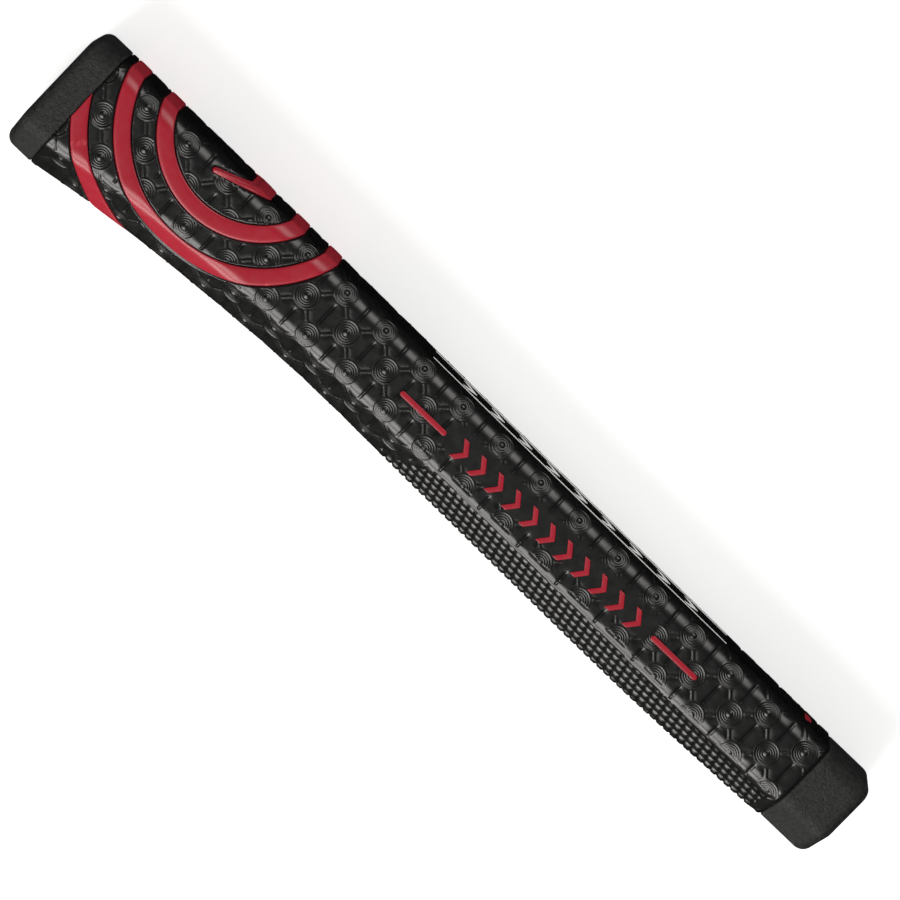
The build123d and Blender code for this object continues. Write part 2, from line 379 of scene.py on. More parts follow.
def knurl_relief(x, t):
    """Slanted rows of small rounded blocks."""
    row = (np.abs(t) - strip_start(x) - STRIP_WIDTH) / KNURL_PITCH_T
    column = (x - KNURL_START_X) / KNURL_PITCH_X - (KNURL_SHIFT / KNURL_PITCH_X) * row
    across = np.abs(row - np.floor(row) - 0.5) * 2
    along = np.abs(column - np.floor(column) - 0.5) * 2
    far = np.maximum(along, across) * 0.75 + np.hypot(along, across) * 0.25
    tilt = KNURL_TILT * (row - np.floor(row) - 0.5)
    return KNURL_BED + (KNURL_HEIGHT + tilt) * (1 - smooth(0.6, 1.0, far))


def disc_centres():
    """Every disc of the lattice: its x, its t and its row."""
    centres = []
    for row in range(-ROWS + 1, ROWS):
        offset = 0.5 if row % 2 else 0.0
        count = int((TIP_SEAM - BUTT_SEAM) / PITCH) + 3
        for i in range(-2, count):
            x = FIRST_DISC_X + (i + offset) * PITCH
            if BUTT_SEAM - DISC_RADIUS < x < TIP_SEAM + DISC_RADIUS:
                centres.append((x, float(row_place(x, row)), row))
    return centres


def ring_relief(r):
    """Height over a disc at distance r from its middle: a dimple, ringed by fine grooves, and a low rim."""
    height = DIMPLE_HEIGHT * (1 - smooth(0.25, 0.75, r))
    for groove in RING_GROOVES:
        height = height - RING_DEPTH * pulse(r - groove, RING_WIDTH)
    return height + RIM_HEIGHT * pulse(r - DISC_RADIUS + 0.15, 0.22) - DISC_SINK


def link_relief(d):
    """Height over a link at distance d from its middle: a fine ridge between two finer grooves."""
    return LINK_HEIGHT * pulse(d, LINK_WIDTH) - LINK_GROOVE_DEPTH * pulse(d - LINK_GROOVE_OUT, 0.16)


def girth_groove_relief(d):
    """A fine groove in the middle of a shallow hollow."""
    return -GIRTH_GROOVE_DEPTH * pulse(d, GIRTH_GROOVE_WIDTH) - 0.10 * pulse(d, 1.0)


def disc_distance(x, t):
    """The distance to the middle of the nearest disc."""
    row = row_at(x, t)
    near = np.full_like(x, FAR)
    for shift in (-1, 0, 1):
        k = np.round(row) + shift
        offset = np.where(np.mod(k, 2) == 1, 0.5, 0.0)
        column = np.round((x - FIRST_DISC_X) / PITCH - offset)
        centre_x = FIRST_DISC_X + (column + offset) * PITCH
        centre_t = row_place(centre_x, k)
        near = np.minimum(near, np.hypot(x - centre_x, t - centre_t))
    return near


def lattice_relief(x, t, near):
    """Height of the discs, the links to their diagonal neighbours and the grooves to the ones across."""
    step = ROW_STEP * half_girth(x)              # between rows, in millimetres here
    row = row_at(x, t)
    outside = smooth(DISC_RADIUS + 0.1, DISC_RADIUS + 0.4, near)
    height = ring_relief(near) * (1 - outside)

    # diagonal links run where the two lattice coordinates meet a whole number
    column = (x - FIRST_DISC_X) / PITCH
    length = np.hypot(PITCH / 2, step)
    for value in (column + row / 2, column - row / 2):
        d = np.abs(value - np.round(value)) * PITCH * step / length
        height = height + link_relief(d) * outside

    # a short groove round the girth crosses each row midway between two of its discs
    half_column = np.round(column * 2)
    d = np.abs(column * 2 - half_column) * PITCH / 2
    own = np.where(np.mod(half_column, 2) == 1, 2 * np.round(row / 2), 2 * np.round((row - 1) / 2) + 1)
    fade = 1 - smooth(*GIRTH_GROOVE_REACH, np.abs(row - own) * step)
    return height + girth_groove_relief(d) * outside * fade


def end_roll(gap, radius):
    """How far a rounded edge has dropped, at a distance gap from where it ends."""
    inside = np.clip(radius - gap, 0, radius)
    return -(radius - np.sqrt(np.maximum(radius**2 - inside**2, 0)))


def pattern_amount(x, t):
    """1 where the wrap has its pattern of discs, 0 on the plain panels, the knurling and beside the hoops."""
    plain = np.maximum(on_front_panel(x, t), on_side_panel(x, t))
    near_band = 1 - smooth(BAND_EDGE + 0.45, BAND_EDGE + 0.75, hoop_distance(x, t))
    return (1 - plain) * (1 - strip_amount(x, t)) * (1 - near_band)


def strip_relief(x, t, near):
    """The plain strip: its row's half discs end at a fine groove, and its row's grooves end in round dots."""
    below = np.abs(t) - strip_start(x)
    column = (x - FIRST_DISC_X) / PITCH - 0.5
    d = np.abs(column - np.round(column)) * PITCH
    cut = 0.16 * pulse(below, 0.16) * (near < DISC_RADIUS)
    groove = GIRTH_GROOVE_DEPTH * pulse(d, GIRTH_GROOVE_WIDTH) * (below > -0.1) * (below < DOT_BELOW_ROW)
    dot = DOT_DEPTH * (1 - smooth(0.5, 1.0, np.hypot(d, below - DOT_BELOW_ROW) / DOT_RADIUS))
    edge = 0.1 * pulse(np.abs(t) - knurl_start(x) + 0.12, 0.16)
    return edge - np.maximum(np.maximum(cut, groove), dot)


def relief(x, t):
    """Height of the wrap's outer surface over the plain body, in millimetres."""
    near = disc_distance(x, t)
    height = lattice_relief(x, t, near) * pattern_amount(x, t)
    knurl = knurl_amount(x, t)
    on_strip = (x > KNURL_START_X + 7.0) & (x < KNURL_END_X) & (np.abs(t) < knurl_start(x) + 0.25)
    height = height * (1 - knurl) + knurl * knurl_relief(x, t) + strip_relief(x, t, near) * on_strip
    height = height - BED_DEPTH * (1 - smooth(BAND_EDGE + 0.05, BAND_EDGE + 0.5, hoop_distance(x, t)))
    height = height + end_roll(x - BUTT_SEAM, BUTT_ROLL) + end_roll(TIP_SEAM - x, TIP_ROLL)
    return height + end_roll(half_girth(x) - SEAM_HALF - np.abs(t), SEAM_ROLL)


# --- Points to lay the relief on ---

def flat_points(x, t):
    """Flat points from an x and a t, either of which may be one number."""
    return np.stack(np.broadcast_arrays(x, t), axis=1)


def both_sides(points):
    return [points, points * (1, -1)]


def polar_points(x0, t0):
    """Rings of points round a disc, close together where its grooves are and lined up across them."""
    points = [(x0, t0)]
    inner, outer = [0.25, 0.5, 0.75], []
    for groove in RING_GROOVES:
        outer += [groove - 0.14, groove, groove + 0.14, groove + 0.3]
    outer += [DISC_RADIUS - 0.02, DISC_RADIUS + 0.15, DISC_RADIUS + 0.4]
    for radii, count in ((inner, 16), (outer, 32)):
        angles = np.arange(count) * 2 * math.pi / count
        for r in radii:
            points += list(zip(x0 + r * np.cos(angles), t0 + r * np.sin(angles)))
    return np.array(points)


def disc_points():
    return np.concatenate([polar_points(x, t) for x, t, _ in disc_centres()])


def link_points():
    """Points for the links and grooves between the discs, and for the dots that end some of them."""
    groups = []
    offsets = (-0.75, -0.45, -0.22, 0.0, 0.22, 0.45, 0.75)
    wide_offsets = (-1.6, -1.0, -0.5, -0.25, 0, 0.25, 0.5, 1.0, 1.6)
    for x, t, row in disc_centres():
        for sx in (-1, 1):
            next_x = x + sx * PITCH / 2
            way = np.array((next_x - x, float(row_place(next_x, row + 1)) - t))
            reach = math.hypot(*way)
            direction = way / reach
            normal = np.array((-direction[1], direction[0]))
            for d in np.arange(DISC_RADIUS + 0.7, reach - DISC_RADIUS - 0.5, 0.45):
                groups.append(np.array([(x, t) + direction * d + normal * o for o in offsets]))
        gap = float(row_place(x, row + 2)) - t
        for d in np.arange(DISC_RADIUS + 0.8, gap - DISC_RADIUS - 0.6, 0.5):
            groups.append(np.array([(x + o, t + d) for o in wide_offsets]))
        if abs(row) == STRIP_ROW:
            middle = x + PITCH / 2
            side = math.copysign(1, row)
            for d in np.arange(-DISC_RADIUS, DOT_BELOW_ROW - DOT_RADIUS, 0.4):
                groups.append(np.array([(middle + o, t + d * side) for o in wide_offsets]))
            angles = np.arange(14) * 2 * math.pi / 14
            for r in (0.0, 0.14, 0.21, 0.3, 0.42, 0.6):
                groups.append(flat_points(
                    middle + r * np.cos(angles), t + DOT_BELOW_ROW * side + r * np.sin(angles),
                ))
    return np.concatenate(groups)


def hoop_counts(radius, spacing):
    """How many points a hoop's line takes on half of the front, and from the corner to its lowest point."""
    s = Section(np.array([HOOP_X]))
    end = math.acos(np.clip((HOOP_Y - float(s.front[0] - s.r1)) / radius, -1, 1))
    return int(float(s.ends[0][0]) / 1.1), max(8, int(radius * end / spacing))


def hoop_curve(radius, counts):
    """One line of a hoop on the +Z side, from the front's middle and back to it, nearer the tip."""
    def at(y, sign):
        return HOOP_X + sign * np.sqrt(np.maximum(radius**2 - (HOOP_Y - y) ** 2, 0))

    legs = []
    for sign in (-1, 1):
        x = np.full(1, HOOP_X)
        for _ in range(4):
            x = at(outline(x)[0], sign)
        s = Section(x)
        leg = [(float(x[0]), float(t)) for t in np.linspace(0, float(s.ends[0][0]), counts[0], endpoint=False)]
        for a in np.linspace(0, math.pi / 2, CORNER_POINTS, endpoint=False):
            xa = x.copy()
            for _ in range(3):
                s = Section(xa)
                xa = at(s.front - s.r1 * (1 - math.cos(a)), sign)
            s = Section(xa)
            leg.append((float(xa[0]), float(s.ends[0][0] + s.r1 * a)))
        s = Section(xa)
        top = float(s.front[0] - s.r1)
        end = math.acos(np.clip((HOOP_Y - top) / radius, -1, 1))
        for a in np.linspace(end, 0, counts[1])[: None if sign < 0 else -1]:
            xs = np.array([HOOP_X + sign * radius * math.sin(a)])
            leg.append((float(xs[0]), float(Section(xs).girth_at(HOOP_Y - radius * math.cos(a))[0])))
        legs.append(leg)
    return np.array(legs[0] + legs[1][::-1])


def stroke_curve(share, shift):
    """One line along the stroke on the +Z side, from its round end to the front's middle.

    It lies at a share of the stroke's half width, plus shift.
    """
    start = STROKE_START_RADIUS + (share * shift if abs(share) == 1 else -0.6)     # the crown starts further in
    offset = share * STROKE_START_RADIUS + shift
    cos, sin = STROKE_ALONG

    def placed(along, across):
        return STROKE_START[0] + cos * along - sin * across, STROKE_START[1] + sin * along + cos * across

    def at(y):
        """The line's x where it has the height y, beyond its round end."""
        along = (y - STROKE_START[1] - cos * offset) / (sin + cos * share * STROKE_TAPER)
        return placed(along, offset + share * STROKE_TAPER * along)[0]

    line = [placed(-start * math.cos(a), offset * math.sin(a)) for a in np.linspace(0.0, math.pi / 2, 8)]
    curve = [(x, float(Section(np.array([x])).girth_at(y)[0])) for x, y in line]
    x, y = line[-1]
    s = Section(np.array([x]))
    first = math.acos(np.clip((y - float(s.front[0]) + s.r1) / s.r1, 0, 1))
    for a in np.linspace(first, 0, 18)[1:]:
        for _ in range(3):
            s = Section(np.array([x]))
            x = at(float(s.front[0]) - s.r1 * (1 - math.cos(a)))
        curve.append((x, float(s.ends[0][0]) + s.r1 * a))
    flat = curve[-1][1]
    curve += [(x, flat * (1 - u)) for u in np.linspace(0, 1, 9)[1:]]
    return np.array(curve)


def hoop_points():
    groups = []
    for side in (-1, 1):
        for gap in (-0.3, 0.05, 0.2, 0.35, 0.5, 0.65):
            groups += both_sides(stroke_curve(side, side * gap))
    for name, radius in HOOP_RADII.items():
        for side in (-1, 1):
            for gap in (-0.6, 0.05, 0.2, 0.35, 0.5, 0.62, 0.8):
                curve = hoop_curve(radius + side * (BAND_EDGE + gap), hoop_counts(radius, 0.45))
                if name == "outer":
                    curve = curve[curve[:, 0] < HOOP_X]
                groups += both_sides(curve)
    return np.concatenate(groups)


def knurl_points():
    """A small grid on each block of the knurling, and lines along its borders."""
    groups = []
    rows = 8
    columns = int((KNURL_END_X - KNURL_START_X) / KNURL_PITCH_X) + 6
    inside = (0.0, 0.06, 0.24, 0.42, 0.58, 0.76, 0.94)
    cell = np.array([(a, b) for a in inside for b in inside])
    for row in range(rows):
        for column in range(-4, columns):
            u, v = column + cell[:, 0], row + cell[:, 1]
            x = KNURL_START_X + KNURL_PITCH_X * u + KNURL_SHIFT * v
            t = strip_start(x) + STRIP_WIDTH + KNURL_PITCH_T * v
            groups.append(flat_points(x, t))
    points = np.concatenate(groups)
    keep = (points[:, 1] > knurl_start(points[:, 0]) + 0.3) & (points[:, 0] < KNURL_END_X)
    groups = [points[keep]]
    x = np.arange(KNURL_START_X - 2.0, KNURL_END_X + 1.2, 0.5)
    groups += [flat_points(x, knurl_start(x) + gap) for gap in (-0.05, 0.12, 0.27)]
    groups += [flat_points(x, knurl_start(x) - STRIP_WIDTH + gap) for gap in (-0.35, -0.16, 0.0, 0.16, 0.35)]
    for gap in (0, 0.13, 0.27, 0.6, 1.0):
        end = KNURL_END_X + gap
        groups.append(flat_points(end, np.arange(float(strip_start(end)), float(half_girth(end)), 0.5)))
    return np.concatenate(both_sides(np.concatenate(groups)))


def fill_points():
    """An even spread of points, closer together round the corners, with lines along both ends."""
    groups = []
    for x in np.arange(BUTT_SEAM + 1.5, TIP_SEAM - 1.4, 0.9):
        s = Section(np.array([x]))
        e = s.ends[:, 0]
        t = np.concatenate((
            np.arange(0, e[0], 0.9), np.linspace(e[0], e[1], 16), np.arange(e[1] + 0.7, e[2], 0.9),
            np.linspace(e[2], e[3], 10), np.arange(e[3] + 0.7, e[4], 0.9), np.linspace(e[4], e[5] - 0.7, 6),
        ))
        groups.append(flat_points(x, np.concatenate((-t[:0:-1], t))))
    return np.concatenate(groups)


def border_points():
    """The outline of the flat sheet in order: butt end, +Z seam edge, tip end, -Z seam edge."""
    x = np.linspace(BUTT_SEAM, TIP_SEAM, int((TIP_SEAM - BUTT_SEAM) / BORDER_STEP) + 1)
    edge = half_girth(x) - SEAM_HALF
    across = np.linspace(-1, 1, int(2 * edge[0] / BORDER_STEP) + 1)[1:-1]
    near, far = both_sides(flat_points(x, edge))
    butt, tip = flat_points(x[0], across * edge[0]), flat_points(x[-1], across[::-1] * edge[-1])
    return np.concatenate((butt, near, tip, far[::-1]))


def edge_points():
    """Lines just inside the outline, for the rounded edges."""
    groups = []
    for gap in (0.06, 0.2, 0.4, 0.7, 1.1):
        for x in (BUTT_SEAM + gap, TIP_SEAM - gap):
            groups += both_sides(flat_points(x, np.arange(0, float(half_girth(x)) - SEAM_HALF - 0.1, 0.5)))
    x = np.arange(BUTT_SEAM + 1.2, TIP_SEAM - 1.2, 0.5)
    for gap in (0.05, 0.15, 0.3, 0.5):
        groups += both_sides(flat_points(x, half_girth(x) - SEAM_HALF - gap))
    return np.concatenate(groups)


def distinct(points, spacing):
    """The points with every later one dropped that shares a small square with an earlier one."""
    cells = np.round(points / spacing).astype(np.int64)
    _, first = np.unique(cells[:, 0] * 10_000_000 + cells[:, 1], return_index=True)
    return points[np.sort(first)]


def clear_of(points, others, spacing):
    """The points that aren't in or beside a small square that holds one of the others."""
    taken = set()
    for a, b in np.round(others / spacing).astype(int).tolist():
        taken.update((a + i, b + j) for i in (-1, 0, 1) for j in (-1, 0, 1))
    cells = np.round(points / spacing).astype(int).tolist()
    return points[[(a, b) not in taken for a, b in cells]]


def triangles(border, inner):
    """The border and inner points, the triangles that join them, and where each border point is among them."""
    points = np.concatenate((border, inner))
    count = len(border)
    edges = [(i, (i + 1) % count) for i in range(count)]
    following = np.roll(border, -1, axis=0)
    turn = np.sum(border[:, 0] * following[:, 1] - following[:, 0] * border[:, 1])
    face = list(range(count))[:: 1 if turn > 0 else -1]      # only an anticlockwise one is filled
    out = delaunay_2d_cdt([Vector(p) for p in points.tolist()], edges, [face], 1, 1e-5, True)
    faces = [f for f, inside in zip(out[2], out[5]) if inside]
    where = np.zeros(count, int)
    for i, origin in enumerate(out[3]):
        if origin and origin[0] < count:
            where[origin[0]] = i
    return np.array([tuple(p) for p in out[0]]), np.array(faces), where


# --- Mesh helpers ---

def mesh_object(name, points, faces, material, smooth_faces=True):
    """A new object from points in metres."""
    mesh = bpy.data.meshes.new(name)
    mesh.from_pydata(np.asarray(points).tolist(), [], [list(map(int, f)) for f in faces])
    mesh.update()
    mesh.polygons.foreach_set("use_smooth", [smooth_faces] * len(mesh.polygons))
    mesh.materials.append(material)
    piece = bpy.data.objects.new(name, mesh)
    bpy.context.scene.collection.objects.link(piece)
    return piece


def facing_out(piece):
    """Makes every face of a closed piece look outwards."""
    mesh = bmesh.new()
    mesh.from_mesh(piece.data)
    bmesh.ops.recalc_face_normals(mesh, faces=mesh.faces)
    mesh.to_mesh(piece.data)
    mesh.free()


def stands_for(piece, node):
    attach(piece, "root")
    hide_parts(node)


def ring_loft(rings, closed=False):
    """Faces between rings of equal length, one after the other, and from the last to the first if closed."""
    count = len(rings[0])
    faces = []
    for i in range(len(rings) if closed else len(rings) - 1):
        here, ahead = i * count, (i + 1) % len(rings) * count
        faces += [(here + k, here + (k + 1) % count, ahead + (k + 1) % count, ahead + k) for k in range(count)]
    return faces


# --- Materials ---

class Nodes:
    """A material's node tree, with short ways to add nodes."""

    def __init__(self, name):
        self.material = bpy.data.materials.new(name)
        self.material.use_nodes = True
        self.tree = self.material.node_tree
        self.shader = self.tree.nodes["Principled BSDF"]
        self.place = self.tree.nodes.new("ShaderNodeTexCoord").outputs["Object"]

    def add(self, kind, **values):
        node = self.tree.nodes.new("ShaderNode" + kind)
        for key, value in values.items():
            if hasattr(node, key):
                setattr(node, key, value)
            else:
                node.inputs[key.replace("_", " ").title()].default_value = value
        return node

    def link(self, start, end):
        self.tree.links.new(start, end)

    def noise(self, scale, detail=3.0, roughness=0.55):
        node = self.add("TexNoise", scale=scale, detail=detail, roughness=roughness)
        self.link(self.place, node.inputs["Vector"])
        return node.outputs["Fac"]

    def ramp(self, value, low, high, start=0.0, end=1.0):
        """The value mapped from start..end onto low..high."""
        node = self.add("MapRange", from_min=start, from_max=end, to_min=low, to_max=high)
        self.link(value, node.inputs["Value"])
        return node.outputs["Result"]

    def blend(self, amount, first, second):
        """A colour between two, by amount. Either may be a colour or a socket."""
        node = self.add("Mix", data_type="RGBA")
        self.link(amount, node.inputs["Factor"])
        for socket, value in (("A", first), ("B", second)):
            end = next(i for i in node.inputs if i.name == socket and i.type == "RGBA")
            if isinstance(value, tuple):
                end.default_value = (*value, 1)
            else:
                self.link(value, end)
        return next(o for o in node.outputs if o.type == "RGBA")

    def product(self, first, second):
        node = self.add("Math", operation="MULTIPLY")
        self.link(first, node.inputs[0])
        self.link(second, node.inputs[1])
        return node.outputs[0]

    def bump(self, height, distance, strength, after=None):
        node = self.add("Bump", distance=distance, strength=strength)
        self.link(height, node.inputs["Height"])
        if after is not None:
            self.link(after, node.inputs["Normal"])
        return node.outputs["Normal"]

    def worn_edges(self, low=0.52, high=0.6):
        """1 on raised edges and 0 elsewhere, broken up by noise."""
        pointed = self.ramp(self.add("NewGeometry").outputs["Pointiness"], 0, 1, low, high)
        return self.product(pointed, self.ramp(self.noise(600), 0, 1, 0.35, 0.65))

    def surface(self, colour, roughness, normal):
        """Links the three to the shader."""
        for name, socket in (("Base Color", colour), ("Roughness", roughness), ("Normal", normal)):
            self.link(socket, self.shader.inputs[name])

    def set(self, **values):
        """Sets values that are the same all over on the shader's own sockets."""
        for name, value in values.items():
            self.shader.inputs[name.replace("_", " ")].default_value = value


def skin_material():
    """Satin black polyurethane, with a very fine leather-like grain and slightly polished high spots."""
    n = Nodes("satin_black_polyurethane")
    base = n.blend(n.noise(90, 5), (0.0045, 0.0043, 0.0043), (0.0075, 0.0072, 0.007))
    fine = n.bump(n.noise(4200, 2), 0.00001, 0.35)
    n.surface(
        n.blend(n.worn_edges(), base, (0.014, 0.0135, 0.013)),
        n.ramp(n.noise(350, 4), 0.28, 0.35, 0.3, 0.7),
        n.bump(n.noise(900, 4), 0.00003, 0.3, fine),
    )
    n.set(Specular_IOR_Level=0.9)
    return n.material


def cap_material():
    """Matt charcoal rubber with a moulded grain."""
    n = Nodes("grained_charcoal_rubber")
    grain = n.ramp(n.noise(900, 5, 0.7), 0, 1, 0.35, 0.65)
    base = n.blend(grain, (0.006, 0.006, 0.006), (0.024, 0.024, 0.023))
    coarse = n.bump(n.noise(1500, 4, 0.65), 0.0005, 0.9)
    n.surface(
        n.blend(n.worn_edges(), base, (0.05, 0.049, 0.047)),
        n.ramp(n.noise(500), 0.5, 0.66, 0.3, 0.7),
        n.bump(n.noise(4200, 2), 0.00006, 0.7, coarse),
    )
    return n.material


def red_material():
    """Satin red polyurethane with a thin clear coat, duller where it has been rubbed."""
    n = Nodes("satin_red_polyurethane")
    base = n.blend(n.noise(120, 5), (0.335, 0.006, 0.019), (0.395, 0.010, 0.026))
    n.surface(
        n.blend(n.worn_edges(0.54, 0.62), base, (0.55, 0.05, 0.07)),
        n.ramp(n.noise(400, 4), 0.28, 0.38, 0.3, 0.7),
        n.bump(n.noise(1800, 4), 0.00003, 0.5),
    )
    n.set(Coat_Weight=0.25, Coat_Roughness=0.3)
    return n.material


def white_material():
    """Satin white polyurethane, slightly uneven."""
    n = Nodes("satin_white_polyurethane")
    n.surface(
        n.blend(n.noise(150, 5), (0.74, 0.735, 0.72), (0.84, 0.84, 0.83)),
        n.ramp(n.noise(400, 4), 0.32, 0.45, 0.3, 0.7),
        n.bump(n.noise(1800, 4), 0.00003, 0.5),
    )
    return n.material


def foam_material():
    """Dark closed-cell foam: small cells with thin walls."""
    n = Nodes("closed_cell_foam")
    voronoi = n.add("TexVoronoi", scale=2400.0, feature="F1")
    n.link(n.place, voronoi.inputs["Vector"])
    cells = voronoi.outputs["Distance"]
    n.surface(
        n.blend(cells, (0.05, 0.05, 0.052), (0.018, 0.018, 0.019)),
        n.ramp(n.noise(700), 0.8, 0.95),
        n.bump(cells, 0.0002, 0.8),
    )
    return n.material


def felt_material():
    """Needled felt: short tangled fibres."""
    n = Nodes("needled_felt")
    fibres = n.noise(2600, 6, 0.8)
    n.surface(
        n.blend(fibres, (0.02, 0.02, 0.021), (0.06, 0.06, 0.06)),
        n.ramp(n.noise(700), 0.85, 1.0),
        n.bump(fibres, 0.0002, 0.9),
    )
    n.set(Sheen_Weight=0.3)
    return n.material


# --- Pieces ---

def wrap_points():
    """The points inside the outline of the flat sheet. Where two kinds meet, the finer kind is kept."""
    inner = distinct(np.concatenate((edge_points(), hoop_points(), knurl_points())), 0.06)
    discs = disc_points()
    discs = discs[pattern_amount(*discs.T) > 0.001]
    for extra, gap in ((discs, 0.1), (link_points(), 0.14), (fill_points(), 0.3)):
        inner = np.concatenate((inner, clear_of(distinct(extra, 0.05), inner, gap)))
    x, t = inner.T
    margin = 0.03
    inside = (x > BUTT_SEAM + margin) & (x < TIP_SEAM - margin)
    return inner[inside & (np.abs(t) < half_girth(x) - SEAM_HALF - margin)]


def make_skin(material):
    """The embossed wrap, as a closed sheet: its outer relief, its plain back and the edges between."""
    border = border_points()
    flat, faces, where = triangles(border, wrap_points())
    top = wrapped(*flat.T, relief(*flat.T))
    x = np.arange(BUTT_SEAM + 3, TIP_SEAM - 2, 3.0)
    sparse = np.array([(a, b * float(half_girth(a))) for a in x for b in np.linspace(-0.95, 0.95, 48)])
    back_flat, back_faces, back_where = triangles(border, sparse)
    back = wrapped(*back_flat.T, np.full(len(back_flat), -SKIN))

    back_faces, back_where = back_faces[:, ::-1] + len(top), back_where + len(top)
    rim = zip(back_where, np.roll(back_where, -1), np.roll(where, -1), where)
    all_faces = [*faces, *back_faces, *rim]
    # the triangles may be drawn either way round, so one is compared with the surface it lies on
    a, b, c = top[faces[0]]
    _, _, ny, nz = Section(flat[faces[0][0]][:1]).place(flat[faces[0][0]][1:])
    if np.dot(np.cross(b - a, c - a), (0, ny[0], nz[0])) <= 0:
        all_faces = [f[::-1] for f in all_faces]
    piece = mesh_object("embossed_wrap", np.concatenate((top, back)), all_faces, material)
    stands_for(piece, "outer_skin")


# Across a band, from one edge to the other: a share of its half width, a shift from there, and a height
BAND_PROFILE = (
    (-1.0, 0.0, -0.45), (-1.0, 0.0, -0.14), (-1.0, 0.10, -0.03), (-1.0, 0.26, 0.04), (-1.0, 0.55, 0.085),
    (-0.45, 0.0, 0.11), (0.0, 0.0, 0.12), (0.45, 0.0, 0.11),
    (1.0, -0.55, 0.085), (1.0, -0.26, 0.04), (1.0, -0.10, -0.03), (1.0, 0.0, -0.14), (1.0, 0.0, -0.45),
    (0.0, 0.0, -0.47),
)


def resampled(curve, count):
    """A line's points spaced evenly along it."""
    steps = np.hypot(*np.diff(curve, axis=0).T)
    along = np.concatenate(([0], np.cumsum(steps)))
    wanted = np.linspace(0, along[-1], count)
    return np.stack([np.interp(wanted, along, curve[:, k]) for k in (0, 1)], axis=1)


def band_sections(curves):
    """The sections along a band, from one line for each point of its profile."""
    lines = [wrapped(*c.T, np.full(len(c), height)) for c, (_, _, height) in zip(curves, BAND_PROFILE)]
    return np.stack(lines, axis=1)


def capped_loft(sections):
    """Faces along a band, and one that closes each of its ends."""
    count, last = len(BAND_PROFILE), len(sections) - 1
    ends = [tuple(range(count)), tuple(range(last * count, (last + 1) * count))[::-1]]
    return ring_loft(sections) + ends


def make_band(name, node, points, faces, material):
    piece = mesh_object(name, points, faces, material)
    facing_out(piece)
    stands_for(piece, node)


def make_hoop(name, material):
    """One coloured band: a soft pillow in section, seated in its bed and closed all round.

    The outer one is cut off at the butt seam and at the back seam, so it is one strip on each side.
    """
    radius = HOOP_RADII[name]
    counts = hoop_counts(radius, 0.4)
    curves = [hoop_curve(radius + share * BAND_EDGE + shift, counts) for share, shift, _ in BAND_PROFILE]
    if name != "outer":
        whole = [np.concatenate((c[:-1], (c * (1, -1))[::-1][:-1])) for c in curves]
        rings = band_sections(whole).transpose(1, 0, 2)
        points, faces = rings.reshape(-1, 3), ring_loft(rings, closed=True)
    else:
        for i, curve in enumerate(curves):
            x, t = curve.T
            keep = (x < HOOP_X - 0.5) & (x > BUTT_SEAM + 0.05) & (t > 0)
            curves[i] = resampled(curve[keep & (t < half_girth(x) - SEAM_HALF - 0.05)], 120)
        sections = band_sections(curves)
        near = sections.reshape(-1, 3)
        points = np.concatenate((near, near * (1, 1, -1)))
        faces = capped_loft(sections)
        faces += [tuple(len(near) + v for v in face[::-1]) for face in faces]
    make_band(f"band_{name}", f"hoop_inlay_{name}", points, faces, material)


def make_stroke(material):
    """The tapered stroke: one soft band from its round end on one side, across the front, to the other."""
    halves = [stroke_curve(share, shift) for share, shift, _ in BAND_PROFILE]
    sections = band_sections([np.concatenate((c, (c[:-1] * (1, -1))[::-1])) for c in halves])
    make_band("band_stroke", "stroke_inlay", sections.reshape(-1, 3), capped_loft(sections), material)


def rounded(corners, radius, steps=4):
    """A closed outline with each corner rounded."""
    out = []
    count = len(corners)
    for i in range(count):
        here, back, ahead = (np.array(corners[j % count], float) for j in (i, i - 1, i + 1))
        to_back, to_ahead = back - here, ahead - here
        cut = min(radius, np.hypot(*to_back) * 0.45, np.hypot(*to_ahead) * 0.45)
        start = here + to_back / np.hypot(*to_back) * cut
        end = here + to_ahead / np.hypot(*to_ahead) * cut
        for u in np.linspace(0, 1, steps):
            out.append(tuple((1 - u) ** 2 * start + 2 * u * (1 - u) * here + u**2 * end))
    return out


def chevron(height, reach, stroke):
    tip = (reach + stroke) / 2
    root = -tip
    return [
        (root, height / 2), (root + stroke, height / 2), (tip, 0), (root + stroke, -height / 2),
        (root, -height / 2), (tip - stroke, 0),
    ]


def slot_outline(length, width, steps=8):
    """A bar along x with round ends."""
    r = width / 2
    turns = np.linspace(-math.pi / 2, math.pi / 2, steps)
    right = [(length / 2 - r + r * math.cos(a), r * math.sin(a)) for a in turns]
    left = [(-length / 2 + r - r * math.cos(a), -r * math.sin(a)) for a in turns]
    return right + left


def divided(outline_points, longest):
    """The outline with its long edges cut into shorter ones, so that they follow the body's curve."""
    out = []
    for i, a in enumerate(outline_points):
        b = outline_points[(i + 1) % len(outline_points)]
        cuts = max(1, int(math.dist(a, b) / longest))
        out += [(a[0] + (b[0] - a[0]) * k / cuts, a[1] + (b[1] - a[1]) * k / cuts) for k in range(cuts)]
    return out


def inset(shape, distance):
    """A closed outline, drawn anticlockwise, moved inwards by distance."""
    ahead = np.roll(shape, -1, axis=0) - shape
    ahead = ahead / np.hypot(*ahead.T)[:, None]
    behind = np.roll(ahead, 1, axis=0)
    inward = np.stack((-ahead[:, 1] - behind[:, 1], ahead[:, 0] + behind[:, 0]), axis=1)
    return shape + inward * (2 * distance / (inward**2).sum(axis=1))[:, None]


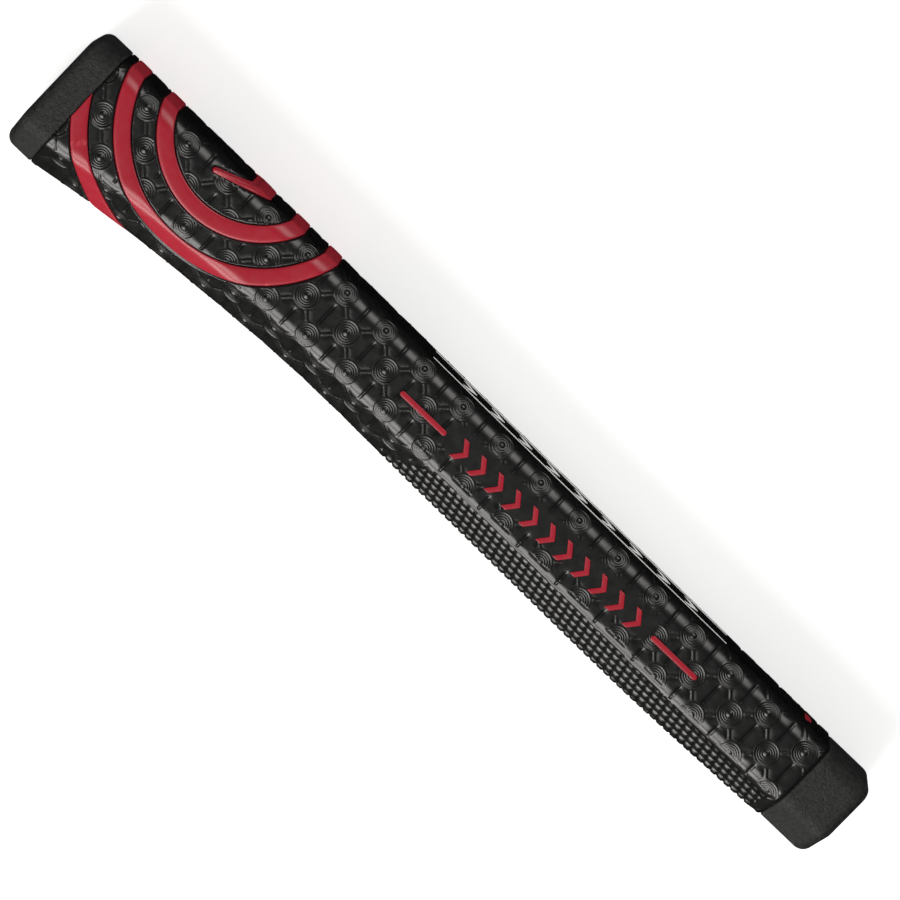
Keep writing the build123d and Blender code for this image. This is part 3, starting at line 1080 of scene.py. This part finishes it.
def make_marks(name, node, material, outlines, seat, proud):
    """Raised marks with rounded edges. seat(points) puts flat points (a, b, height) on the body."""
    points, faces = [], []
    turns = [(1 - math.cos(a), 1 - math.sin(a)) for a in np.linspace(0, math.pi / 2, 5)]
    for outline_points in outlines:
        shape = np.array(divided(outline_points, 1.2))
        following = np.roll(shape, -1, axis=0)
        if np.sum(shape[:, 0] * following[:, 1] - following[:, 0] * shape[:, 1]) < 0:
            shape = shape[::-1]
        loops = [(shape, -MARK_DEPTH)]
        loops += [(inset(shape, MARK_EDGE * u), proud - MARK_EDGE * v) for u, v in turns]
        rings = [np.column_stack((loop, np.full(len(loop), height))) for loop, height in loops]
        start, count = len(points), len(shape)
        for ring in rings:
            points += ring.tolist()
        faces += [tuple(start + v for v in face) for face in ring_loft(rings)]
        cap = tessellate_polygon([[Vector((a, b, 0)) for a, b in shape]])
        for first, order in ((start, -1), (start + (len(rings) - 1) * count, 1)):
            faces += [tuple(first + v for v in face[::order]) for face in cap]
    piece = mesh_object(name, seat(np.array(points)), faces, material)
    facing_out(piece)
    stands_for(piece, node)


def side_seat(side):
    """Puts (x, y, height) on the +Z side (1) or the -Z side (-1)."""
    def seat(flat):
        x, y, height = flat.T
        section = Section(x)
        _, z, _, _ = section.place(section.girth_at(y))
        return np.stack((x, y, (z + height) * side), axis=1) * MM
    return seat


def front_seat(flat):
    """Puts (x, across, height) on the flat front."""
    return wrapped(*flat.T)


def placed_at(shape, x, y):
    return [(a + x, b + y) for a, b in shape]


def row_of(count, pitch):
    return [MARK_MIDDLE_X + (i - (count - 1) / 2) * pitch for i in range(count)]


def make_side_marks(side_name, side, material):
    dash = slot_outline(DASH_LENGTH, DASH_WIDTH)
    mark = rounded(chevron(CHEVRON_HEIGHT, CHEVRON_REACH, CHEVRON_STROKE), 0.28)
    places = (MARK_MIDDLE_X - DASH_CENTRE, MARK_MIDDLE_X + DASH_CENTRE)
    dashes = [placed_at(dash, x, float(mark_line_y(x))) for x in places]
    marks = [placed_at(mark, x, float(mark_line_y(x))) for x in row_of(CHEVRONS, CHEVRON_PITCH)]
    for kind, shapes in (("dashes", dashes), ("chevrons", marks)):
        name = f"{kind}_{side_name}"
        make_marks(name, f"side_{name}", material, shapes, side_seat(side), SIDE_MARK_PROUD)


def make_front_marks(white, red):
    length = 2 * DASH_CENTRE + DASH_LENGTH
    line = slot_outline(length, SIGHT_LINE_WIDTH)
    lines = [placed_at(line, MARK_MIDDLE_X, side * SIGHT_LINE_OFFSET) for side in (-1, 1)]
    make_marks("sight_line_pair", "sight_lines", white, lines, front_seat, SIGHT_LINE_PROUD)
    mark = rounded(chevron(FRONT_CHEVRON_HEIGHT, FRONT_CHEVRON_REACH, FRONT_CHEVRON_STROKE), 0.35)
    marks = [placed_at(mark, x, 0) for x in row_of(FRONT_CHEVRONS, FRONT_CHEVRON_PITCH)]
    make_marks("front_chevron_row", "front_chevrons", white, marks, front_seat, FRONT_MARK_PROUD)
    bar = placed_at([(b, a) for a, b in slot_outline(TIP_BAR_LENGTH, TIP_BAR_WIDTH)], TIP_BAR_X, 0)
    make_marks("tip_mark", "tip_bar", red, [bar], front_seat, FRONT_MARK_PROUD)


def outline_ring(x, inset, section_x):
    """Points round the body's outline at section_x, drawn inset and placed at x."""
    section = Section(np.full(RING_POINTS, section_x), inset)
    t = np.linspace(-1, 1, RING_POINTS, endpoint=False) * section.girth
    y, z, _, _ = section.place(t)
    return np.stack((np.full(RING_POINTS, x), y, z), axis=1)


def round_ring(x, radius, like):
    """A circle round the bore's axis, with its points at the same angles as another ring's."""
    angles = np.arctan2(like[:, 2], like[:, 1])
    return np.stack((np.full(len(like), x), radius * np.cos(angles), radius * np.sin(angles)), axis=1)


def rim_rings(end_x, inward, section_x, inset, radius, steps=9):
    """Rings round the rounded rim of a cap, from its wall to its end face. inward is +1 or -1 along X."""
    turns = [(1 - math.sin(a), 1 - math.cos(a)) for a in np.linspace(0, math.pi / 2, steps)]
    return [outline_ring(end_x + inward * radius * u, inset + radius * v, section_x) for u, v in turns]


def face_rings(outer, inner):
    """Rings across a flat end face, between its rim and a hole in its middle."""
    return [outer * (1 - u) + inner * u for u in (0.06, 0.14, 0.25, 0.4, 0.55, 0.7, 0.82, 0.91)]


def make_cap(name, node, rings, material):
    """A cap from all its rings in order: out along the wall, over its end and back through its middle."""
    piece = mesh_object(name, np.concatenate(rings) * MM, ring_loft(rings, closed=True), material)
    facing_out(piece)
    stands_for(piece, node)


def make_butt_cap(material):
    """Rounded cap with an air vent in its end, a fine moulding step at the seam and its spigot."""
    steps = ((0, 0.75), (0.03, 0.45), (0.12, 0.2), (0.35, 0.04), (0.6, 0.0))
    wall = [outline_ring(BUTT_SEAM - gap, inset, BUTT_SEAM) for gap, inset in steps]
    along = np.linspace(BUTT_SEAM - 1.4, BUTT_END + BUTT_RIM + 0.3, 7)
    wall += [outline_ring(x, 0.0, BUTT_SEAM) for x in along]
    rim = rim_rings(BUTT_END, 1, BUTT_SEAM, 0.0, BUTT_RIM)
    vent = round_ring(BUTT_END, VENT_RADIUS + 0.2, rim[-1])
    inside = (
        (BUTT_END + 0.15, VENT_RADIUS + 0.03), (BUTT_END + 0.4, VENT_RADIUS), (0, VENT_RADIUS), (0, 3.0),
        (0, BORE_RADIUS - 0.4), (0, BORE_RADIUS), (0.4, BORE_RADIUS), (BUTT_SPIGOT_END, BORE_RADIUS),
        (BUTT_SPIGOT_END, BUTT_SPIGOT_RADIUS), (BUTT_SEAM, BUTT_SPIGOT_RADIUS),
    )
    rings = wall + rim + face_rings(rim[-1], vent) + [vent] + [round_ring(x, r, vent) for x, r in inside]
    make_cap("grained_butt_cap", "butt_cap", rings, material)


def make_tip_cap(material):
    """Rounded collar with the bore's mouth, a fine moulding step at the seam and its spigot."""
    steps = ((0, 0.6), (0.05, 0.3), (0.2, 0.1), (0.5, 0))
    wall = [outline_ring(TIP_SEAM + gap, TIP_CAP_INSET + inset, TIP_SEAM) for gap, inset in steps]
    along = np.linspace(TIP_SEAM + 1.4, TIP_END - TIP_RIM - 0.3, 10)
    wall += [outline_ring(x, TIP_CAP_INSET, TIP_SEAM) for x in along]
    rim = rim_rings(TIP_END, -1, TIP_SEAM, TIP_CAP_INSET, TIP_RIM)
    mouth = round_ring(TIP_END, BORE_RADIUS + 0.9, rim[-1])
    inside = (
        (TIP_END - 0.12, BORE_RADIUS + 0.62), (TIP_END - 0.45, BORE_RADIUS + 0.2), (TIP_END - 0.9, BORE_RADIUS),
        (TIP_SPIGOT_END, BORE_RADIUS), (TIP_SPIGOT_END, TIP_SPIGOT_RADIUS), (TIP_SEAM, TIP_SPIGOT_RADIUS),
    )
    rings = wall + rim + face_rings(rim[-1], mouth) + [mouth] + [round_ring(x, r, mouth) for x, r in inside]
    make_cap("grained_tip_cap", "tip_cap", rings, material)


# --- The studio ---

def make_floor():
    """A plain pale floor under the grip, which glows a little and doesn't mirror in it."""
    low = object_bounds()[0].z
    n = Nodes("pale_floor")
    n.set(Base_Color=(0.93, 0.93, 0.93, 1), Roughness=0.9, Specular_IOR_Level=0.1)
    n.set(Emission_Color=(1, 1, 1, 1), Emission_Strength=0.45)
    points = [(x * FLOOR_HALF, y * FLOOR_HALF, low) for x, y in ((-1, -1), (1, -1), (1, 1), (-1, 1))]
    floor = mesh_object("floor", points, [(0, 1, 2, 3)], n.material, smooth_faces=False)
    floor.visible_glossy = False


def turn_to(thing, right, backward):
    """Turns a light or camera, which look along their own -Z, so that +X is right and +Z is backward."""
    thing.rotation_mode = "QUATERNION"
    thing.rotation_quaternion = Matrix((right, backward.cross(right), backward)).transposed().to_quaternion()
    bpy.context.scene.collection.objects.link(thing)


def make_lights():
    """Soft boxes along the grip, over each long edge, and a pale surround that doesn't mirror in it."""
    middle = Vector((CAMERA_AIM.x, 0, 0))
    for name, (angle, size, power) in LIGHTS.items():
        data = bpy.data.lights.new(name, "AREA")
        data.shape = "RECTANGLE"
        data.size, data.size_y = size
        data.energy = power
        data.color = LIGHT_COLOUR
        lamp = bpy.data.objects.new(name, data)
        facing = Vector((0, math.sin(math.radians(angle)), math.cos(math.radians(angle))))
        lamp.location = middle + facing * LIGHT_DISTANCE
        turn_to(lamp, Vector((1, 0, 0)), facing)
    world = bpy.data.worlds.new("studio")
    world.use_nodes = True
    world.node_tree.nodes["Background"].inputs["Color"].default_value = (1, 1, 1, 1)
    world.node_tree.nodes["Background"].inputs["Strength"].default_value = 0.4
    bpy.context.scene.world = world
    world.cycles_visibility.glossy = False


def make_camera():
    """A long lens above the grip's side, tipped a little towards its front and its butt end."""
    direction = Vector((math.sin(CAMERA_TILT_X), math.sin(CAMERA_TILT_Y), 1.0)).normalized()
    data = bpy.data.cameras.new("camera")
    data.lens = CAMERA_LENS
    data.shift_x, data.shift_y = CAMERA_SHIFT
    camera = bpy.data.objects.new("camera", data)
    camera.location = CAMERA_AIM + direction * CAMERA_DISTANCE
    along = Vector((1, 0, 0))
    along = (along - along.dot(direction) * direction).normalized()
    right = along * math.cos(CAMERA_ROLL) + direction.cross(along) * math.sin(CAMERA_ROLL)
    turn_to(camera, right, direction)
    bpy.context.scene.camera = camera
    bpy.context.scene.view_settings.view_transform = "Standard"


def main():
    skin, cap, red, white = skin_material(), cap_material(), red_material(), white_material()
    make_skin(skin)
    for name in HOOP_RADII:
        make_hoop(name, red)
    make_stroke(red)
    make_side_marks("near", 1, red)
    make_side_marks("far", -1, red)
    make_front_marks(white, red)
    make_butt_cap(cap)
    make_tip_cap(cap)
    for node, material in (("core_sleeve", foam_material()), ("felt_backing", felt_material())):
        frame["nodes"][node].data.materials.clear()
        frame["nodes"][node].data.materials.append(material)
    make_floor()
    make_lights()
    make_camera()


main()
